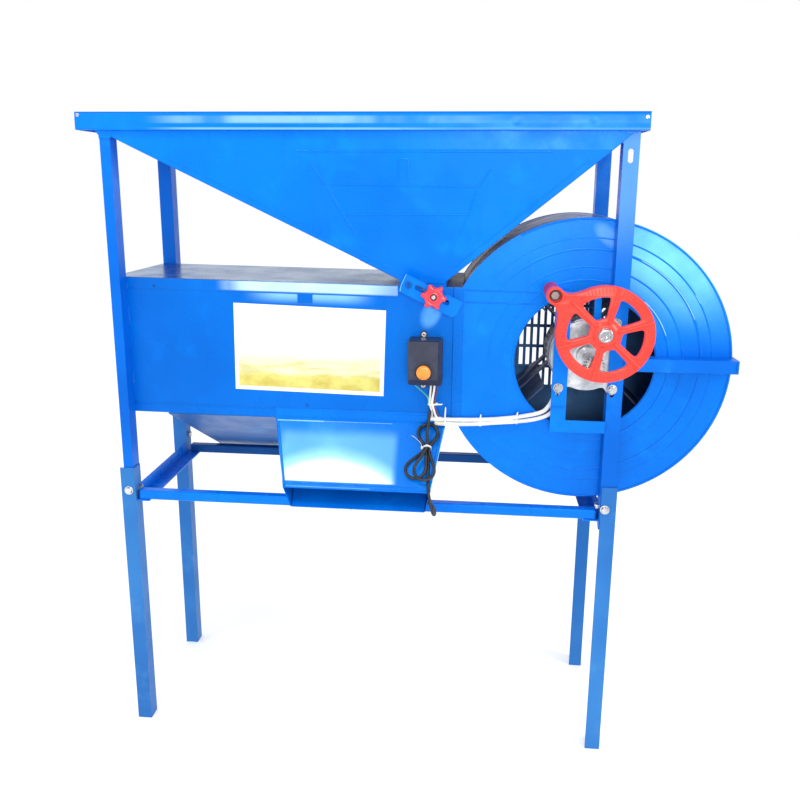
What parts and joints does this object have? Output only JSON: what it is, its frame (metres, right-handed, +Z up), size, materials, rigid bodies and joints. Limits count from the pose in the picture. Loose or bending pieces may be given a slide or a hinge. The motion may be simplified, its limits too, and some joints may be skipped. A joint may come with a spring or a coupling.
{
  "type": "grain cleaning machine",
  "caption": "Standing grain winnower: wide hopper on angle-iron legs, air duct with two chutes, round fan housing with electric motor, geared hand crank, feed gate knob and switch.",
  "frame": {"origin": "on the ground, under the middle of the machine's bounding box, cord left out", "axes": "+Z up, +X to the right as seen from the crank side, +Y from the crank side to the rear"},
  "size_m": [1.253, 0.465, 1.297],
  "materials": {
    "blue_paint": "gloss enamel",
    "pale_blue_paint": "satin enamel",
    "grey_sheet": "dark galvanised sheet, semi gloss",
    "zinc_steel": "zinc plated",
    "fan_metal": "satin enamel",
    "pinion_steel": "oiled steel",
    "motor_casing": "silver paint",
    "coral_paint": "gloss enamel",
    "grip_plastic": "moulded, semi gloss",
    "knob_plastic": "moulded, gloss",
    "switch_plastic": "moulded, satin",
    "button_plastic": "moulded, gloss",
    "label_film": "smooth film",
    "white_pvc": "smooth",
    "black_pvc": "satin"
  },
  "bodies": {
    "frame": {"front_left_leg_upper": "blue_paint", "front_left_leg_lower": "pale_blue_paint", "front_right_leg_upper": "blue_paint", "front_right_leg_lower": "pale_blue_paint", "rear_left_leg_upper": "blue_paint", "rear_left_leg_lower": "pale_blue_paint", "rear_right_leg_upper": "blue_paint", "rear_right_leg_lower": "pale_blue_paint", "front_rail": "blue_paint", "rear_rail": "blue_paint", "left_rail": "blue_paint", "right_rail": "blue_paint", "brace_front_bar": "blue_paint", "brace_side_bar": "blue_paint", "brace_rear_bar": "blue_paint", "leg_bolts": "zinc_steel", "hopper_front_plate": "blue_paint", "hopper_rear_plate": "blue_paint", "hopper_left_slope": "blue_paint", "hopper_right_slope": "blue_paint", "duct_front_panel": "blue_paint", "duct_rear_panel": "blue_paint", "duct_top_cover": "grey_sheet", "divider_plate": "blue_paint", "main_chute_floor": "blue_paint", "main_chute_hood": "blue_paint", "rear_chute_floor": "blue_paint", "rear_chute_hood": "blue_paint", "gate_bracket": "blue_paint", "drum_front_plate": "blue_paint", "drum_rear_plate": "blue_paint", "drum_wrap": "grey_sheet", "motor_body": "motor_casing", "motor_bar": "blue_paint", "motor_cross_plate": "blue_paint", "motor_bolts": "zinc_steel", "crank_bracket": "blue_paint", "crank_axle": "zinc_steel", "switch_box": "switch_plastic", "switch_cover": "switch_plastic", "panel_screws": "zinc_steel", "label_sheet": "label_film", "motor_lead": "white_pvc", "switch_wires": "white_pvc", "cable_ties": "white_pvc", "power_cord": "black_pvc", "cord_hank": "black_pvc", "power_plug": "black_pvc"},
    "fan": {"fan_hub": "fan_metal", "fan_blades": "fan_metal", "motor_shaft": "zinc_steel", "pinion": "pinion_steel"},
    "crank": {"hub_bearing": "zinc_steel", "handwheel": "coral_paint", "handle_bolt": "zinc_steel"},
    "grip": {"handle_sleeve": "grip_plastic"},
    "gate": {"gate_plate": "blue_paint", "gate_stud": "zinc_steel"},
    "knob": {"star_knob": "knob_plastic"},
    "button": {"switch_button": "button_plastic"}
  },
  "joints": [
    {"name": "fan_spin", "type": "hinge", "parent": "frame", "child": "fan", "pos_m": [0.3455, 0.03147, 0.853], "axis": [0, 1, 0], "continuous": true},
    {"name": "crank_spin", "type": "hinge", "parent": "frame", "child": "crank", "pos_m": [0.3595, -0.21853, 0.9134], "axis": [0, 1, 0], "continuous": true},
    {"name": "handle_spin", "type": "hinge", "parent": "crank", "child": "grip", "pos_m": [0.27021, -0.16853, 0.98068], "axis": [0, 1, 0], "continuous": true},
    {"name": "gate_slide", "type": "slide", "parent": "frame", "child": "gate", "axis": [0.9011, 0, -0.4337], "range_m": [-0.035, 0.02]},
    {"name": "knob_turn", "type": "hinge", "parent": "gate", "child": "knob", "pos_m": [0.05345, -0.12853, 0.96155], "axis": [0, 1, 0], "range_deg": [0, 360]},
    {"name": "button_press", "type": "slide", "parent": "frame", "child": "button", "axis": [0, 1, 0], "range_m": [0, 0.0025], "stiffness_N_per_m": 1200, "springref_m": -0.001}
  ],
  "couplings": [
    {"joint": "crank_spin", "follows": "fan_spin", "ratio": 0.225}
  ]
}
